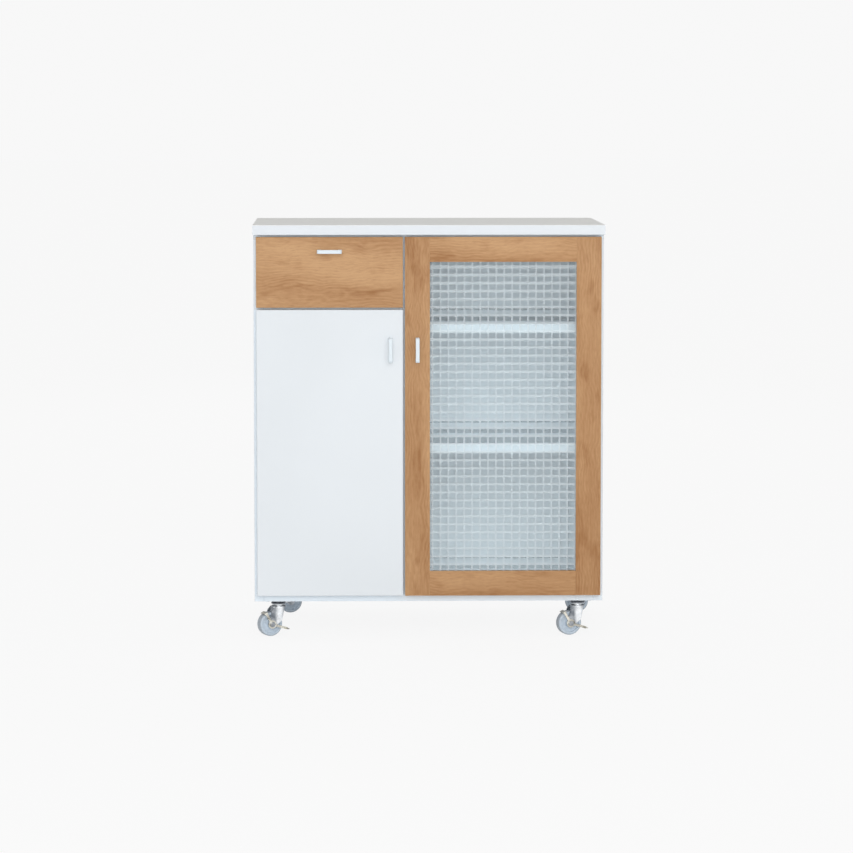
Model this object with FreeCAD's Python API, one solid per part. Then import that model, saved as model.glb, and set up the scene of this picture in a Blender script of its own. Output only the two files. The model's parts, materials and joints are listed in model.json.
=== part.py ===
import FreeCAD, Part
import math
import os

# A white kitchen counter on casters: one drawer over a plain door on the left,
# a tall framed door with a patterned glass pane on the right.
# Millimetres. X to the right, front towards -Y, Z up. The origin is on the floor,
# in the middle of the footprint, handles included.

V = FreeCAD.Vector
X_AXIS = V(1, 0, 0)
Y_AXIS = V(0, 1, 0)
Z_AXIS = V(0, 0, 1)

# Modelling tolerances
tiny = 1e-6
overcut = 1.0

# Overall
top_width = 750.0
top_depth = 450.0
top_thick = 21.0
top_round = 1.5
body_height = 787.0
caster_height = 80.0
panel = 20.0
side_overhang = 1.5
front_overhang = 5.0

# Fronts
front_thick = 18.0
front_gap = 2.0
side_reveal = 6.0
top_gap = 5.0
bottom_reveal = 14.0
front_slit = 4.5
left_front_width = 312.0
drawer_front_height = 150.0
edge_round = 1.0

# Inside of the body
back_thick = 4.0
back_rebate = 9.0
back_play = 0.5
rail_thick = 18.0
rail_depth = 70.0
rail_dowel_inset = 17.5
stretcher_depth = 50.0
shelf_thick = 18.0
shelf_setback = 28.0
shelf_play = 1.0
lower_shelf_top = 415.0
upper_shelf_rise = 256.0
hole_pitch = 32.0
pin_radius = 2.5
pin_depth = 8.0
pin_head_radius = 4.0
pin_reach = 9.0
pin_inset = 45.0
dowel_radius = 4.0
dowel_short = 12.0
dowel_long = 18.0
dowel_inset = 62.0
glue_gap = 0.05

# Drawer box
runner_space = 12.5
box_side = 12.0
box_height = 110.0
box_screw_in = 36.0
box_screw_up = 24.0
box_lift = 14.0
tray_thick = 4.0
tray_groove = 6.0
tray_raise = 10.0
tray_play = 0.5

# Roller runners, bent from sheet
sheet = 1.2
channel_height = 17.0
channel_depth = 10.0
channel_drop = 2.0
channel_inset = 2.0
runner_back_gap = 49.0
runner_screw_inset = 45.0
channel_mouth = 30.0
flange_level = 16.8
flange_inner = 3.0
ledge_width = 9.5
slide_short = 5.0
roller_radius = 8.25
roller_width = 6.0
roller_from = 3.2
roller_end = 12.0
roller_lift = 0.05
rivet_radius = 2.0
rivet_collar = 3.2
rivet_head = 4.0
rivet_head_thick = 0.7
run_fit = 0.06

# Framed glass door
frame_width = 53.0
pane_thick = 4.0
pane_from_front = 8.0
pane_rebate = 8.0
pane_play = 1.0
tenon_from_front = 6.0
tenon_thick = 6.0
tenon_length = 25.0
tenon_shoulder = 10.0
tenon_play = 0.1

# Handles
handle_length = 53.0
handle_width = 8.0
handle_bar = 6.0
handle_leg = 8.0
handle_reach = 25.0
handle_round = 5.0
handle_soft = 1.0
drawer_handle_down = 30.5
door_handle_in = 26.5
door_handle_down = 240.0

# Cup hinges: distances from the hinged edge of the door and from its back face
cup_radius = 17.5
cup_depth = 11.5
cup_wall = 1.0
cup_edge = 3.0
cup_pocket = 8.0
cup_pocket_floor = 10.8
cup_flange = 1.2
cup_flange_half = 30.0
cup_flange_width = 19.0
cup_screw_half = 24.0
cup_pivot_in = 8.0
cup_pivot_deep = 6.0
arm_pivot_in = 24.3
arm_pivot_deep = 3.2
hinge_pin = 1.5
hinge_pin_bury = 1.5
link_half = 4.0
link_thick_half = 1.2
link_knuckle = 2.6
link_elbow_in = 14.5
link_elbow_deep = 9.0
link_bend_in = 19.0
link_bend_deep = 7.0
arm_half = 7.0
arm_half_thick = 3.5
arm_length = 66.0
arm_slot_half = 4.3
arm_slot_end = 9.0
plate_from = 30.0
plate_base = 2.0
plate_base_half = 22.0
plate_base_from = 38.0
plate_base_to = 54.0
plate_screw_half = 16.0
hinge_from_end = 88.0

# Screws
screw_radius = 2.0
screw_head = 3.6
screw_head_thick = 2.0
flat_head_thick = 1.1
screw_bite = 12.0

# Casters
caster_inset = 50.0
rear_inset = 30.0
wheel_radius = 26.0
wheel_width = 20.0
wheel_round = 3.0
wheel_dish = 3.0
wheel_bevel = 0.9
wheel_rim = 20.0
hub_radius = 9.0
axle_radius = 3.0
caster_trail = 20.5
fork_gap = 24.0
fork_sheet = 2.0
crown_drop = 14.5
crown_thick = 2.5
crown_radius = 16.0
crown_rim = 5.0
crown_bend = 2.4
leg_front = 9.0
leg_back = 13.0
shoulder_back = 20.0
shoulder_drop = 10.0
heel_front = 3.0
heel_level = 34.0
race_radius = 11.0
race_rise = 2.5
race_slack = 0.3
cup_race_radius = 16.0
cup_race_height = 4.5
cup_race_round = 1.8
neck_radius = 12.5
plate_thick = 2.5
plate_long = 60.0
plate_wide = 52.0
plate_corner = 6.0
plate_hole_x = 24.0
plate_hole_y = 20.0
fork_eye = 8.5
kingpin_radius = 4.5
kingpin_head = 7.0
kingpin_head_thick = 2.5
nut_radius = 5.8
nut_thick = 4.0
lever_thick = 2.0
lever_half = 2.6
lever_eye = 9.0
lever_gap = 0.3
shoe_gap = 1.0
shoe_thick = 2.0
shoe_angle = 60.0
shoe_spread = 8.0
shoe_cross = 8.0
pedal_back = 33.0
pedal_drop = 10.0
pedal_out = 10.0
front_left_heading = 203.0
front_right_heading = 195.0
rear_left_heading = 10.0
rear_right_heading = 355.0

# Derived planes
depth_all = top_depth + handle_reach - front_overhang
y_back = depth_all / 2
y_top = y_back - top_depth
y_front = y_top + front_overhang
y_door = y_front + front_thick
y_body = y_door + front_gap
y_inside = y_back - back_thick
half_body = top_width / 2 - side_overhang
x_in = half_body - panel
z_body = caster_height
z_floor = z_body + panel
z_under = z_body + body_height
z_top = z_under + top_thick
x_left = -half_body + side_reveal
x_left_end = x_left + left_front_width
x_right = x_left_end + front_slit
x_right_end = half_body - side_reveal
x_mid = (x_left_end + x_right) / 2
x_mid_l = x_mid - panel / 2
x_mid_r = x_mid + panel / 2
z_low = z_body + bottom_reveal
z_high = z_under - top_gap
z_drawer = z_high - drawer_front_height
z_left_top = z_drawer - front_slit
z_rail = z_drawer - front_slit / 2 - rail_thick / 2
z_rail_top = z_rail + rail_thick
z_box = z_rail_top + box_lift


def box(x0, x1, y0, y1, z0, z1):
    """Block between two corners."""
    return Part.makeBox(x1 - x0, y1 - y0, z1 - z0, V(x0, y0, z0))


def rod(point, axis, radius, length):
    """Round bar from a point along an axis."""
    return Part.makeCylinder(radius, length, point, axis)


def soften(shape, radius, level, direction):
    """Round the edges that lie in the plane with this coordinate along a direction."""
    chosen = []
    for edge in shape.Edges:
        if all(abs(v.Point.dot(direction) - level) < tiny for v in edge.Vertexes):
            chosen.append(edge)
    return shape.makeFillet(radius, chosen)


def running(shape, axis):
    """The edges of a shape that run along an axis."""
    return [e for e in shape.Edges if e.tangentAt(e.FirstParameter).cross(axis).Length < tiny]


def drill(piece, tools):
    """Take from a piece every tool that reaches it."""
    near = [t for t in tools if t.BoundBox.intersect(piece.BoundBox)]
    if not near:
        return piece
    return piece.cut(near)


def one(shape):
    """The single solid of a result, with coplanar faces joined."""
    return shape.removeSplitter().Solids[0]


def plate_of(points, axis, low, high):
    """Slab with a straight-sided outline, from low to high along Y or Z."""
    if axis == Y_AXIS:
        corners = [V(a, low, b) for a, b in points]
    else:
        corners = [V(a, b, low) for a, b in points]
    face = Part.Face(Part.makePolygon(corners + corners[:1]))
    return face.extrude(axis * (high - low))


def capsule_path(points, half, axis, low, high):
    """Bar with round ends and elbows along a path of points in one plane."""
    joined = None
    for (a, b), (c, d) in zip(points, points[1:]):
        run = math.hypot(c - a, d - b)
        na = -(d - b) / run * half
        nb = (c - a) / run * half
        outline = [(a + na, b + nb), (c + na, d + nb), (c - na, d - nb), (a - na, b - nb)]
        bar = plate_of(outline, axis, low, high)
        joined = bar if joined is None else joined.fuse(bar)
    for a, b in points:
        base = V(a, low, b) if axis == Y_AXIS else V(a, b, low)
        joined = joined.fuse(rod(base, axis, half, high - low))
    return joined


def screw(seat, axis, length, thick=screw_head_thick):
    """Screw with a cheese head: the seat is under the head, the shank runs along the axis."""
    shank = rod(seat, axis, screw_radius, length)
    return one(shank.fuse(rod(seat - axis * thick, axis, screw_head, thick)))


def screw_hole(seat, axis, length):
    """Room for the shank of a screw."""
    return rod(seat, axis, screw_radius + glue_gap, length + glue_gap)


def save(name, solids):
    """Write one node, a single solid or a group of like solids."""
    shape = solids[0] if len(solids) == 1 else Part.makeCompound(solids)
    shape.exportStep("parts/" + name + ".step")


os.makedirs("parts", exist_ok=True)
screws = {"fitting": [], "caster": [], "drawer": [], "left_door": [], "glass_door": []}
holes = []

# Dowels: each joins two panels, its shorter end in the face and its longer end in the edge
dowels = []
dowel_ys = [y_body + dowel_inset, (y_body + y_inside) / 2, y_inside - dowel_inset]


def add_dowel(face_point, axis):
    """Dowel through a joint plane: the axis points into the edge of the second panel."""
    start = face_point - axis * dowel_short
    dowels.append(rod(start, axis, dowel_radius, dowel_short + dowel_long))
    holes.append(rod(start, axis, dowel_radius + glue_gap, dowel_short + dowel_long))


for y in dowel_ys:
    for x in (-half_body + panel / 2, x_mid, half_body - panel / 2):
        add_dowel(V(x, y, z_under), -Z_AXIS)
    add_dowel(V(x_mid, y, z_floor), Z_AXIS)
    add_dowel(V(-x_in, y, z_body + panel / 2), X_AXIS)
    add_dowel(V(x_in, y, z_body + panel / 2), -X_AXIS)
for y in (y_body + rail_dowel_inset, y_body + rail_depth - rail_dowel_inset):
    add_dowel(V(-x_in, y, z_rail + rail_thick / 2), X_AXIS)
    add_dowel(V(x_mid_l, y, z_rail + rail_thick / 2), -X_AXIS)
for y in (y_body + rail_dowel_inset, y_body + stretcher_depth - rail_dowel_inset):
    add_dowel(V(-x_in, y, z_under - rail_thick / 2), X_AXIS)
    add_dowel(V(x_in, y, z_under - rail_thick / 2), -X_AXIS)

# Shelves on pins, with a row of spare holes above and below each pin
shelf_y = y_body + shelf_setback
shelf_end = y_inside - shelf_play
upper_shelf_top = lower_shelf_top + upper_shelf_rise
shelf_bays = [
    ("left_shelf", -x_in, x_mid_l, lower_shelf_top),
    ("lower_right_shelf", x_mid_r, x_in, lower_shelf_top),
    ("upper_right_shelf", x_mid_r, x_in, upper_shelf_top),
]
pins = []
for name, x0, x1, top in shelf_bays:
    low = top - shelf_thick
    board = box(x0 + shelf_play, x1 - shelf_play, shelf_y, shelf_end, low, top)
    save(name, [soften(board, edge_round, shelf_y, Y_AXIS)])
    centre = low - pin_radius
    for y in (shelf_y + pin_inset, shelf_end - pin_inset):
        for x, axis in ((x0, X_AXIS), (x1, -X_AXIS)):
            peg = rod(V(x, y, centre) - axis * pin_depth, axis, pin_radius, pin_depth)
            head = rod(V(x, y, centre), axis, pin_head_radius, pin_reach)
            level = box(x - pin_reach, x + pin_reach, y - panel, y + panel, low, low + panel)
            pins.append(one(peg.fuse(head).cut(level)))
            for step in (-1, 0, 1):
                start = V(x, y, centre + step * hole_pitch) - axis * pin_depth
                holes.append(rod(start, axis, pin_radius + glue_gap, pin_depth))

# Roller runners: a channel on the body and an angled rail under each drawer side
y_channel = y_body + channel_inset
y_channel_end = y_inside - runner_back_gap
runner_length = y_channel_end - y_channel
y_slide = y_door + slide_short
y_slide_end = y_slide + runner_length
z_channel = z_box - channel_drop
front_roller = V(0, y_channel + roller_end, z_box + flange_level - roller_radius - roller_lift)
rear_roller = V(0, y_slide_end - roller_end, z_channel + roller_radius + roller_lift)
roller_to = roller_from + roller_width
front_rollers = []
rear_rollers = []


def runner_pair(name, x_wall, side):
    """Both halves of one runner: side is the way from the wall to the drawer, 1 or -1 along X."""

    def bar(u0, u1, y0, y1, z0, z1):
        a, b = sorted((x_wall + side * u0, x_wall + side * u1))
        return box(a, b, y0, y1, z0, z1)

    def turned(u0, u1, centre, radius):
        start = V(x_wall + side * u0, centre.y, centre.z)
        return rod(start, X_AXIS * side, radius, u1 - u0)

    def rivet(centre, root, tip):
        """Stepped pin from a sheet to its clenched head beyond the roller."""
        near, far = (roller_from, roller_to) if root < tip else (roller_to, roller_from)
        way = 1 if root < tip else -1
        stub = turned(*sorted((root, tip)), centre, rivet_radius)
        collar = turned(*sorted((root, near - way * run_fit)), centre, rivet_collar)
        head_from = far + way * run_fit
        head = turned(*sorted((head_from, head_from + way * rivet_head_thick)), centre, rivet_head)
        return one(stub.fuse(collar).fuse(head))

    z0 = z_channel - sheet
    z1 = z_channel + channel_height
    web = bar(0, sheet, y_channel, y_channel_end, z0, z1 + sheet)
    floor = bar(0, channel_depth, y_channel, y_channel_end, z0, z_channel)
    roof = bar(0, channel_depth, y_channel + channel_mouth, y_channel_end, z1, z1 + sheet)
    channel = web.fuse(floor).fuse(roof)
    y_middle = (y_channel + y_channel_end) / 2
    for y in (y_channel + runner_screw_inset, y_middle, y_channel_end - runner_screw_inset):
        seat = V(x_wall + side * sheet, y, z_box + channel_height / 2)
        axis = X_AXIS * -side
        screws["fitting"].append(screw(seat, axis, screw_bite, thick=flat_head_thick))
        holes.append(screw_hole(seat, axis, screw_bite))
    channel = drill(channel, holes)
    tip = roller_to + run_fit + rivet_head_thick
    save("left_body_runner" if side > 0 else "right_body_runner",
         [one(channel), rivet(front_roller, sheet, tip)])

    u_wall = runner_space
    plate = bar(u_wall - sheet, u_wall, y_slide, y_slide_end, z_box - sheet, z_box + flange_level + sheet)
    ledge = bar(u_wall - sheet, u_wall + ledge_width, y_slide, y_slide_end, z_box - sheet, z_box)
    lip_z = z_box + flange_level
    lip = bar(flange_inner, u_wall, y_slide, y_slide_end, lip_z, lip_z + sheet)
    tip = roller_from - run_fit - rivet_head_thick
    save(name, [one(plate.fuse(ledge).fuse(lip)), rivet(rear_roller, u_wall - sheet, tip)])

    for group, centre in ((front_rollers, front_roller), (rear_rollers, rear_roller)):
        wheel = turned(roller_from, roller_to, centre, roller_radius)
        bore = turned(roller_from, roller_to, centre, rivet_radius + run_fit)
        group.append(one(wheel.cut(bore)))


runner_pair("left_drawer_runner", -x_in, 1)
runner_pair("right_drawer_runner", x_mid_l, -1)
save("front_rollers", front_rollers)
save("rear_rollers", rear_rollers)


def handle(centre, along):
    """Bridge handle on the plane of the fronts: a bar with two legs, long in the given axis."""
    half = handle_length / 2
    outer = box(-half, half, -handle_reach, 0, -handle_width / 2, handle_width / 2)
    corners = [e for e in running(outer, Z_AXIS) if e.BoundBox.YMax < -tiny]
    outer = outer.makeFillet(handle_round, corners)
    reach = handle_reach - handle_bar
    inner = box(-half + handle_leg, half - handle_leg, -reach, overcut, -handle_width, handle_width)
    corners = [e for e in running(inner, Z_AXIS) if e.BoundBox.YMax < -tiny]
    inner = inner.makeFillet(handle_round - handle_soft, corners)
    solid = outer.cut(inner)
    rim = [e for e in solid.Edges if e.BoundBox.ZLength < tiny and e.BoundBox.YMin < -reach]
    solid = one(solid.makeFillet(handle_soft, rim))
    if along == Z_AXIS:
        solid.rotate(V(0, 0, 0), Y_AXIS, 90)
    solid.translate(centre)
    return solid


def handle_fixings(key, centre, along, through):
    """Two screws from behind into the legs; returns the holes they need."""
    made = []
    step = (handle_length - handle_leg) / 2
    for way in (-1, 1):
        seat = centre + along * (way * step) + Y_AXIS * through
        length = through + screw_bite
        screws[key].append(screw(seat, -Y_AXIS, length))
        made.append(screw_hole(seat, -Y_AXIS, length))
    return made


x_left_mid = (x_left + x_left_end) / 2
drawer_grip = V(x_left_mid, y_front, z_high - drawer_handle_down)
left_grip = V(x_left_end - door_handle_in, y_front, z_high - door_handle_down)
glass_grip = V(x_right + door_handle_in, y_front, z_high - door_handle_down)

# Drawer
x_box = -x_in + runner_space
x_box_end = x_mid_l - runner_space
x_tray = x_box + box_side
x_tray_end = x_box_end - box_side
y_box_end = y_slide_end + slide_short
z_tray = z_box + tray_raise
z_box_top = z_box + box_height
groove = box(
    x_tray - tray_groove, x_tray_end + tray_groove,
    y_door + box_side - tray_groove, y_box_end,
    z_tray, z_tray + tray_thick,
)
drawer_holes = handle_fixings("drawer", drawer_grip, X_AXIS, front_thick + box_side)
for x in (x_tray + box_screw_in, x_tray_end - box_screw_in):
    for z in (z_tray + box_screw_up, z_box_top - box_screw_up):
        seat = V(x, y_door + box_side, z)
        screws["drawer"].append(screw(seat, -Y_AXIS, box_side + screw_bite))
        drawer_holes.append(screw_hole(seat, -Y_AXIS, box_side + screw_bite))
face = box(x_left, x_left_end, y_front, y_door, z_drawer, z_high)
face = soften(face, edge_round, y_front, Y_AXIS)
save("drawer_front", [one(drill(face, drawer_holes))])
save("drawer_handle", [one(drill(handle(drawer_grip, X_AXIS), drawer_holes))])
inner_front = box(x_tray, x_tray_end, y_door, y_door + box_side, z_box, z_box_top)
save("drawer_inner_front", [one(drill(inner_front.cut(groove), drawer_holes))])
for name, x in (("drawer_left_side", x_box), ("drawer_right_side", x_tray_end)):
    board = box(x, x + box_side, y_door, y_box_end, z_box, z_box_top)
    save(name, [one(soften(board, edge_round, z_box_top, Z_AXIS).cut(groove))])
board = box(x_tray, x_tray_end, y_box_end - box_side, y_box_end, z_tray + tray_thick, z_box_top)
save("drawer_back", [board])
tray = box(
    x_tray - tray_groove + tray_play, x_tray_end + tray_groove - tray_play,
    y_door + box_side - tray_groove + tray_play, y_box_end,
    z_tray, z_tray + tray_thick,
)
save("drawer_bottom", [tray])
save("drawer_screws", screws["drawer"])

# Cup hinges
arms = []
plates = []


def hinge_set(key, x_edge, side, heights):
    """Hinges of one door: side is the way from its hinged edge to its middle, 1 or -1 along X."""
    cups = []
    links = []
    cuts = []
    wall = panel - side_reveal

    def at(inward, back, z):
        return V(x_edge + side * inward, y_door + back, z)

    def bar(u0, u1, v0, v1, z0, z1):
        a, b = sorted((x_edge + side * u0, x_edge + side * u1))
        return box(a, b, y_door + v0, y_door + v1, z0, z1)

    cup_in = cup_edge + cup_radius
    flange_to = cup_in + cup_flange_width
    for z in heights:
        cup = rod(at(cup_in, -cup_depth, z), Y_AXIS, cup_radius, cup_depth)
        cuts.append(cup.copy())
        cup = cup.fuse(bar(cup_in, flange_to, 0, cup_flange, z - cup_flange_half, z + cup_flange_half))
        bowl = rod(at(cup_in, -cup_pocket_floor, z), Y_AXIS, cup_radius - cup_wall, cup_depth * 2)
        slot = bar(cup_edge, flange_to, -cup_depth, cup_depth, z - cup_pocket, z + cup_pocket)
        cup = cup.cut(bowl.common(slot))
        pin_half = cup_pocket + hinge_pin_bury
        pin_foot = at(cup_pivot_in, -cup_pivot_deep, z - pin_half)
        cup = cup.cut(rod(pin_foot, Z_AXIS, hinge_pin + glue_gap, 2 * pin_half))
        for way in (-1, 1):
            seat = at(cup_in + cup_flange_width / 2, cup_flange, z + way * cup_screw_half)
            screws[key].append(screw(seat, -Y_AXIS, screw_bite, thick=flat_head_thick))
            cuts.append(screw_hole(seat, -Y_AXIS, screw_bite))
        cups.append(one(drill(cup, cuts[-2:])))
        cups.append(rod(pin_foot, Z_AXIS, hinge_pin, 2 * pin_half))

        path = [(arm_pivot_in, arm_pivot_deep), (link_bend_in, link_bend_deep)]
        path += [(link_elbow_in, link_elbow_deep), (cup_pivot_in, cup_pivot_deep)]
        flat = [(x_edge + side * a, y_door - b) for a, b in path]
        link = capsule_path(flat, link_thick_half, Z_AXIS, z - link_half, z + link_half)
        for a, b in (flat[0], flat[-1]):
            link = link.fuse(rod(V(a, b, z - link_half), Z_AXIS, link_knuckle, 2 * link_half))
        for a, b in (flat[0], flat[-1]):
            link = link.cut(rod(V(a, b, z - link_half), Z_AXIS, hinge_pin + run_fit, 2 * link_half))
        links.append(one(link))

        u0 = arm_pivot_in - arm_half_thick
        u1 = arm_pivot_in + arm_half_thick
        arm = bar(u0, u1, -arm_pivot_deep, arm_length, z - arm_half, z + arm_half)
        nose = at(arm_pivot_in, -arm_pivot_deep, z - arm_half)
        arm = arm.fuse(rod(nose, Z_AXIS, arm_half_thick, 2 * arm_half))
        arm = arm.cut(bar(0, 2 * u1, -cup_depth, arm_slot_end, z - arm_slot_half, z + arm_slot_half))
        arm = arm.cut(rod(nose, Z_AXIS, hinge_pin + glue_gap, 2 * arm_half))
        arms.append(one(arm))
        arms.append(rod(nose, Z_AXIS, hinge_pin, 2 * arm_half))

        base = bar(wall, wall + plate_base, plate_base_from, plate_base_to,
                   z - plate_base_half, z + plate_base_half)
        block = bar(wall, u0, plate_from, arm_length, z - arm_half, z + arm_half)
        fixings = []
        for way in (-1, 1):
            seat = at(wall + plate_base, (plate_base_from + plate_base_to) / 2, z + way * plate_screw_half)
            screws["fitting"].append(screw(seat, X_AXIS * -side, screw_bite))
            fixings.append(screw_hole(seat, X_AXIS * -side, screw_bite))
        holes.extend(fixings)
        plates.append(one(drill(base.fuse(block), fixings)))
    return cups, links, cuts


# Plain door
hinge_low = z_low + hinge_from_end
cups, links, cuts = hinge_set("left_door", x_left, 1, (hinge_low, z_left_top - hinge_from_end))
cuts += handle_fixings("left_door", left_grip, Z_AXIS, front_thick)
door = box(x_left, x_left_end, y_front, y_door, z_low, z_left_top)
door = soften(door, edge_round, y_front, Y_AXIS)
save("left_door_panel", [one(drill(door, cuts))])
save("left_door_handle", [one(drill(handle(left_grip, Z_AXIS), cuts))])
save("left_hinge_cups", cups)
save("left_hinge_links", links)
save("left_door_screws", screws["left_door"])

# Framed door: stiles run the full height, rails are tenoned between them
cups, links, cuts = hinge_set("glass_door", x_right_end, -1, (hinge_low, z_high - hinge_from_end))
cuts += handle_fixings("glass_door", glass_grip, Z_AXIS, front_thick)
x_sight = x_right + frame_width
x_sight_end = x_right_end - frame_width
z_sight = z_low + frame_width
z_sight_end = z_high - frame_width
y_pane = y_front + pane_from_front
rebate = box(
    x_sight - pane_rebate, x_sight_end + pane_rebate, y_pane, y_door,
    z_sight - pane_rebate, z_sight_end + pane_rebate,
)
y_tenon = y_front + tenon_from_front
mortises = []
for name, z0, z1, t0, t1 in (
    ("bottom_rail", z_low, z_sight, z_low + tenon_shoulder, z_sight - pane_rebate - tenon_shoulder),
    ("top_rail", z_sight_end, z_high, z_sight_end + pane_rebate + tenon_shoulder, z_high - tenon_shoulder),
):
    rail = box(x_sight, x_sight_end, y_front, y_door, z0, z1)
    rail = soften(rail, edge_round / 2, y_front, Y_AXIS).cut(rebate)
    tongue = box(x_sight - tenon_length, x_sight_end + tenon_length, y_tenon, y_tenon + tenon_thick, t0, t1)
    save(name, [one(rail.fuse(tongue))])
    mortises.append(box(
        x_sight - tenon_length - tenon_play, x_sight_end + tenon_length + tenon_play,
        y_tenon - tenon_play, y_tenon + tenon_thick + tenon_play, t0 - tenon_play, t1 + tenon_play,
    ))
for name, x in (("left_stile", x_right), ("right_stile", x_sight_end)):
    stile = box(x, x + frame_width, y_front, y_door, z_low, z_high)
    stile = soften(stile, edge_round / 2, y_front, Y_AXIS).cut(rebate)
    save(name, [one(drill(stile, mortises + cuts))])
pane = box(
    x_sight - pane_rebate + pane_play, x_sight_end + pane_rebate - pane_play, y_pane, y_pane + pane_thick,
    z_sight - pane_rebate, z_sight_end + pane_rebate - pane_play,
)
save("checker_glass", [pane])
y_bead = y_pane + pane_thick
beads = []
for x in (x_sight - pane_rebate, x_sight_end):
    beads.append(box(x, x + pane_rebate, y_bead, y_door, z_sight - pane_rebate, z_sight_end + pane_rebate))
for z in (z_sight - pane_rebate, z_sight_end):
    beads.append(box(x_sight, x_sight_end, y_bead, y_door, z, z + pane_rebate))
save("glazing_beads", beads)
save("glass_door_handle", [one(drill(handle(glass_grip, Z_AXIS), cuts))])
save("glass_hinge_cups", cups)
save("glass_hinge_links", links)
save("glass_door_screws", screws["glass_door"])
save("hinge_arms", arms)
save("hinge_plates", plates)

# Casters, built with the swivel axis on Z and the wheel trailing towards +X
z_plate = caster_height - plate_thick
z_crown = caster_height - crown_drop
z_cup = z_crown + race_rise + race_slack
fork_half = fork_gap / 2 + fork_sheet
axle_centre = V(caster_trail, 0, wheel_radius)


def tangent_point(a, b, radius, side):
    """Where a line from a point touches the eye of the fork, in the X Z plane."""
    da = a - caster_trail
    db = b - wheel_radius
    angle = math.atan2(db, da) + side * math.acos(radius / math.hypot(da, db))
    return axle_point(radius, math.degrees(angle))


def axle_point(radius, degrees):
    """Point at a distance and an angle from the axle, in the X Z plane."""
    angle = math.radians(degrees)
    return (caster_trail + radius * math.cos(angle), wheel_radius + radius * math.sin(angle))


def cross_bar(y0, y1, radius):
    """Round bar on the axle line between two distances across the wheel."""
    return rod(axle_centre + Y_AXIS * y0, Y_AXIS, radius, y1 - y0)


def fork_solid():
    """Pressed fork: a drawn crown with a race on top flows into two legs down to the axle."""
    z_leg = z_crown - crown_bend
    z_shoulder = z_crown - shoulder_drop
    outline = [(-leg_front, z_leg), (leg_back, z_leg), (shoulder_back, z_shoulder)]
    outline += [tangent_point(shoulder_back, z_shoulder, fork_eye, -1), (caster_trail, wheel_radius)]
    outline += [tangent_point(-heel_front, heel_level, fork_eye, 1), (-heel_front, heel_level)]
    crown = Part.makeCone(fork_half, crown_radius, z_crown - heel_level, V(0, 0, heel_level), Z_AXIS)
    crown = soften(crown, crown_bend, z_crown, Z_AXIS)
    head = crown.common(box(-crown_radius, crown_radius, -crown_radius, crown_radius,
                            z_crown - crown_rim, z_crown))
    swell = crown.common(plate_of(outline, Y_AXIS, -crown_radius, crown_radius))
    block = plate_of(outline, Y_AXIS, -fork_half, fork_half)
    block = block.fuse([cross_bar(-fork_half, fork_half, fork_eye), head, swell])
    z_inside = z_crown - crown_thick
    hollow = Part.makeCone(fork_half - fork_sheet, crown_radius - fork_sheet, z_inside - heel_level,
                           V(0, 0, heel_level), Z_AXIS)
    reach = caster_trail + wheel_radius
    slot = box(-reach, reach, -fork_gap / 2, fork_gap / 2, 0, z_inside)
    block = block.cut([slot, hollow])
    block = block.fuse(rod(V(0, 0, z_inside), Z_AXIS, race_radius, race_rise + crown_thick))
    block = block.cut(rod(V(0, 0, 0), Z_AXIS, kingpin_radius + run_fit, caster_height))
    return one(block.cut(cross_bar(-fork_half, fork_half, axle_radius + glue_gap)))


def wheel_solid():
    """Turned wheel with rounded tread, dished faces and a long hub."""
    half = wheel_width / 2
    hub = fork_gap / 2 - lever_gap
    dish = half - wheel_dish
    side = [(axle_radius + run_fit, hub), (hub_radius, hub), (hub_radius + wheel_bevel, dish)]
    side += [(wheel_rim - wheel_bevel, dish), (wheel_rim, half), (wheel_radius - wheel_round, half)]
    side += [(wheel_radius - wheel_bevel, half - wheel_bevel), (wheel_radius, half - wheel_round)]
    outline = [V(r, across, 0) for r, across in side]
    outline += [V(r, -across, 0) for r, across in reversed(side)]
    section = Part.Face(Part.makePolygon(outline + outline[:1]))
    wheel = section.revolve(V(0, 0, 0), Y_AXIS, 360)
    wheel.translate(axle_centre)
    return one(wheel)


def axle_solid(near):
    """Axle bolt with a six-sided nut at each end; near is where the front nut begins."""
    rod_part = cross_bar(-fork_half, near, axle_radius)
    for start in (-fork_half - nut_thick, near):
        ring = [axle_point(nut_radius, turn) for turn in range(0, 360, 60)]
        rod_part = rod_part.fuse(plate_of(ring, Y_AXIS, start, start + nut_thick))
    return one(rod_part)


def lever_solid():
    """Rocker lever on the axle: a shoe over the tread at one end, a pedal at the other."""
    y0 = fork_half + lever_gap
    y1 = y0 + lever_thick
    shoe = wheel_radius + shoe_gap
    foot = (caster_trail - pedal_back, wheel_radius - pedal_drop)
    path = [axle_point(shoe, shoe_angle), (caster_trail, wheel_radius), foot]
    lever = capsule_path(path, lever_half, Y_AXIS, y0, y1)
    lever = lever.fuse(cross_bar(y0, y1, lever_eye))
    ring = cross_bar(-shoe_cross, y1, shoe + shoe_thick).cut(cross_bar(-shoe_cross, y1, shoe))
    wedge = [(caster_trail, wheel_radius)]
    for turn in (shoe_angle - shoe_spread, shoe_angle + shoe_spread):
        wedge.append(axle_point(2 * shoe, turn))
    lever = lever.fuse(ring.common(plate_of(wedge, Y_AXIS, -shoe_cross, y1)))
    lever = lever.fuse(box(foot[0] - lever_half, foot[0] + lever_half, y0, y1 + pedal_out,
                           foot[1] - lever_thick / 2, foot[1] + lever_thick / 2))
    return one(lever.cut(cross_bar(y0, y1, axle_radius + run_fit)))


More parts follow.
